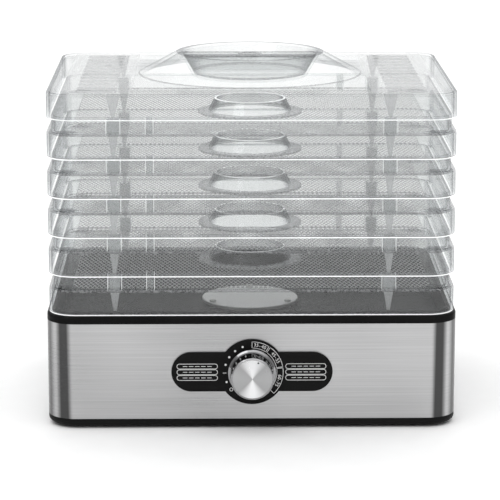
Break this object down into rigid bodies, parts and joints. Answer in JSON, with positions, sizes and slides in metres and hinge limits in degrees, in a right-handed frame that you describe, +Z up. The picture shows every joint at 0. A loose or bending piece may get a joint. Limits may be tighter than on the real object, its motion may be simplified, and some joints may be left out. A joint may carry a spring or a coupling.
{
  "type": "food dehydrator",
  "caption": "Countertop food dehydrator: clear lid and stacked mesh trays on a brushed steel fan-heater base with a dial knob.",
  "frame": {"origin": "under the middle of the object's bounding box, at the height of the feet", "axes": "+X to the right, +Y to the back, +Z up; the dial faces -Y"},
  "size_m": [0.334, 0.2874, 0.2926],
  "materials": {
    "clear_plastic": "clear, polished moulding",
    "brushed_steel": "brushed along the band",
    "black_gloss": "gloss black moulding",
    "black_matte": "matt black moulding",
    "dark_rubber": "soft, matt",
    "knob_metal": "polished, spun in rings on the face",
    "pale_metal": "pale satin enamel",
    "plated_steel": "zinc plated",
    "laminated_steel": "varnished laminations",
    "copper_winding": "lacquered copper wire",
    "sintered_bronze": "oiled, porous",
    "mica": "flaky sheet",
    "element_sheath": "heat-darkened sheath",
    "pale_plastic": "heat-resistant moulding",
    "lead_sleeve": "glass-fibre sleeve"
  },
  "bodies": {
    "base": {"bottom_pan": "black_matte", "feet": "dark_rubber", "case_screws": "plated_steel", "steel_band": "brushed_steel", "top_housing": "black_gloss", "cord_gland": "dark_rubber", "control_fascia": "black_gloss", "thermostat": "plated_steel", "thermostat_nut": "plated_steel", "deflector_disc": "pale_metal", "disc_spacers": "plated_steel", "disc_screws": "plated_steel", "heat_shield": "plated_steel", "heater_frame": "mica", "heater_element": "element_sheath", "thermal_cutout": "pale_plastic", "motor_core": "laminated_steel", "motor_coil": "copper_winding", "lower_strap": "plated_steel", "upper_strap": "plated_steel", "strap_spacers": "plated_steel", "shaft_bearings": "sintered_bronze", "motor_screws": "plated_steel", "terminal_block": "pale_plastic", "internal_leads": "lead_sleeve"},
    "dial": {"thermostat_spindle": "plated_steel", "dial_knob": "knob_metal", "knob_cap": "knob_metal"},
    "fan_rotor": {"motor_shaft": "plated_steel", "motor_rotor": "laminated_steel", "fan_impeller": "black_matte", "fan_clip": "plated_steel"},
    "tray_5": {"tray_5": "clear_plastic"},
    "tray_4": {"tray_4": "clear_plastic"},
    "tray_3": {"tray_3": "clear_plastic"},
    "tray_2": {"tray_2": "clear_plastic"},
    "tray_1": {"tray_1": "clear_plastic"},
    "lid": {"lid": "clear_plastic"}
  },
  "joints": [
    {"name": "dial_turn", "type": "hinge", "parent": "base", "child": "dial", "pos_m": [0, -0.12125, 0.048], "axis": [0, 1, 0], "range_deg": [-153, 117]},
    {"name": "fan_spin", "type": "hinge", "parent": "base", "child": "fan_rotor", "pos_m": [0, 0.00775, 0.045], "axis": [0, 0, 1], "continuous": true},
    {"name": "tray_5_lift", "type": "slide", "parent": "base", "child": "tray_5", "axis": [0, 0, 1], "range_m": [0, 0.05]},
    {"name": "tray_4_lift", "type": "slide", "parent": "tray_5", "child": "tray_4", "axis": [0, 0, 1], "range_m": [0, 0.05]},
    {"name": "tray_3_lift", "type": "slide", "parent": "tray_4", "child": "tray_3", "axis": [0, 0, 1], "range_m": [0, 0.05]},
    {"name": "tray_2_lift", "type": "slide", "parent": "tray_3", "child": "tray_2", "axis": [0, 0, 1], "range_m": [0, 0.05]},
    {"name": "tray_1_lift", "type": "slide", "parent": "tray_2", "child": "tray_1", "axis": [0, 0, 1], "range_m": [0, 0.05]},
    {"name": "lid_lift", "type": "slide", "parent": "tray_1", "child": "lid", "axis": [0, 0, 1], "range_m": [0, 0.05]}
  ]
}
